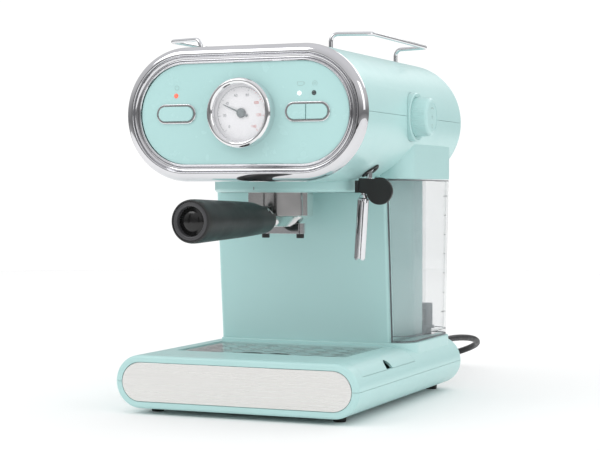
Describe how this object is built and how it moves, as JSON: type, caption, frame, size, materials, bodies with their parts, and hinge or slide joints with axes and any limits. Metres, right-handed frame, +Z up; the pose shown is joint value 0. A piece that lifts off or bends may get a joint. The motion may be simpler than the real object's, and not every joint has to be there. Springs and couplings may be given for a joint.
{
  "type": "espresso machine",
  "caption": "Small home espresso machine with a pill-shaped head and gauge, filter holder, steam wand, rear water tank and lift-out drip tray.",
  "frame": {"origin": "on the standing surface, under the centre of the base", "axes": "+X to the user's right, +Y to the back, +Z up; the control panel faces -Y"},
  "size_m": [0.2617, 0.5883, 0.3577],
  "materials": {
    "mint_shell": "satin gloss mint",
    "chrome_trim": "mirror",
    "brushed_plate": "brushed",
    "bare_steel": "satin",
    "cast_aluminium": "cast",
    "black_moulding": "fine grain matte",
    "black_rubber": "matte",
    "grey_moulding": "satin",
    "clear_tank": "clear",
    "clear_lens": "clear",
    "dial_face": "printed",
    "lamp": "lit",
    "silicone_seal": "matte",
    "circuit_board": "coated",
    "silicone_hose": "translucent",
    "cord_black": "matte"
  },
  "bodies": {
    "machine": {"base_pan": "mint_shell", "base_top_cover": "mint_shell", "column_front": "mint_shell", "column_back": "mint_shell", "head_lower_shell": "mint_shell", "head_upper_shell": "mint_shell", "control_panel": "mint_shell", "knob_collar": "mint_shell", "cup_rail_left": "chrome_trim", "cup_rail_right": "chrome_trim", "bezel_ring": "chrome_trim", "power_button_surround": "chrome_trim", "twin_button_surround": "chrome_trim", "gauge_ring": "chrome_trim", "front_plate": "brushed_plate", "cup_plate": "brushed_plate", "shower_screen": "bare_steel", "pump_bracket": "bare_steel", "pump": "bare_steel", "brew_group": "cast_aluminium", "boiler_lower": "cast_aluminium", "boiler_upper": "cast_aluminium", "steam_valve": "cast_aluminium", "wand_socket": "black_moulding", "rubber_feet": "black_rubber", "tank_dock": "grey_moulding", "gauge_lens": "clear_lens", "gauge_dial": "dial_face", "indicator_lights": "lamp", "dock_seal": "silicone_seal", "group_gasket": "silicone_seal", "control_board": "circuit_board", "water_hoses": "silicone_hose", "strain_relief": "cord_black", "mains_cord": "cord_black", "cord_coil": "cord_black", "mains_plug": "cord_black"},
    "drip_tray": {"drip_tray": "mint_shell"},
    "grille": {"drip_grille": "bare_steel"},
    "tank": {"water_tank": "clear_tank", "tank_valve_body": "grey_moulding", "tank_valve_spring": "bare_steel"},
    "poppet": {"tank_valve_poppet": "grey_moulding"},
    "filter_holder": {"portafilter_bowl": "chrome_trim", "filter_basket": "bare_steel", "spout": "chrome_trim", "spout_tips": "black_moulding", "portafilter_handle": "black_moulding", "handle_end_cap": "grey_moulding", "lever_pin": "bare_steel"},
    "retainer": {"thumb_lever": "black_moulding"},
    "steam_wand": {"wand_pipe": "chrome_trim", "wand_grip": "black_moulding"},
    "sleeve": {"froth_sleeve": "chrome_trim"},
    "knob": {"steam_knob": "mint_shell", "valve_spindle": "bare_steel"},
    "needle": {"gauge_needle": "grey_moulding"},
    "power_key": {"power_button": "mint_shell"},
    "brew_key": {"brew_button": "mint_shell"},
    "steam_key": {"steam_button": "mint_shell"}
  },
  "joints": [
    {"name": "tray_lift", "type": "slide", "parent": "machine", "child": "drip_tray", "axis": [0, 0, 1], "range_m": [0, 0.04]},
    {"name": "grille_lift", "type": "slide", "parent": "drip_tray", "child": "grille", "axis": [0, 0, 1], "range_m": [0, 0.03]},
    {"name": "tank_pull", "type": "slide", "parent": "machine", "child": "tank", "axis": [0, 1, 0], "range_m": [0, 0.14]},
    {"name": "poppet_lift", "type": "slide", "parent": "tank", "child": "poppet", "axis": [0, 0, 1], "range_m": [0, 0.0025], "stiffness_N_per_m": 150, "springref_m": -0.004, "deforming": ["tank_valve_spring"]},
    {"name": "holder_turn", "type": "hinge", "parent": "machine", "child": "filter_holder", "pos_m": [0, -0.0458, 0.21], "axis": [0, 0, 1], "range_deg": [-45, 0]},
    {"name": "retainer_flip", "type": "hinge", "parent": "filter_holder", "child": "retainer", "pos_m": [-0.00262, -0.09573, 0.19094], "axis": [-0.9986, 0.0523, 0], "range_deg": [0, 90]},
    {"name": "wand_swing", "type": "hinge", "parent": "machine", "child": "steam_wand", "pos_m": [0.092, -0.0458, 0.2313], "axis": [0, -1, 0], "range_deg": [0, 35]},
    {"name": "sleeve_pull", "type": "slide", "parent": "steam_wand", "child": "sleeve", "axis": [-0.0654, 0, -0.9979], "range_m": [0, 0.03]},
    {"name": "knob_turn", "type": "hinge", "parent": "machine", "child": "knob", "pos_m": [0.122, 0.0028, 0.281], "axis": [1, 0, 0], "range_deg": [0, 270]},
    {"name": "needle_turn", "type": "hinge", "parent": "machine", "child": "needle", "pos_m": [0, -0.137, 0.281], "axis": [0, 1, 0], "range_deg": [-69, 201]},
    {"name": "power_press", "type": "slide", "parent": "machine", "child": "power_key", "axis": [0, 1, 0], "range_m": [0, 0.002], "stiffness_N_per_m": 400, "springref_m": -0.002},
    {"name": "brew_press", "type": "slide", "parent": "machine", "child": "brew_key", "axis": [0, 1, 0], "range_m": [0, 0.002], "stiffness_N_per_m": 400, "springref_m": -0.002},
    {"name": "steam_press", "type": "slide", "parent": "machine", "child": "steam_key", "axis": [0, 1, 0], "range_m": [0, 0.002], "stiffness_N_per_m": 400, "springref_m": -0.002}
  ]
}
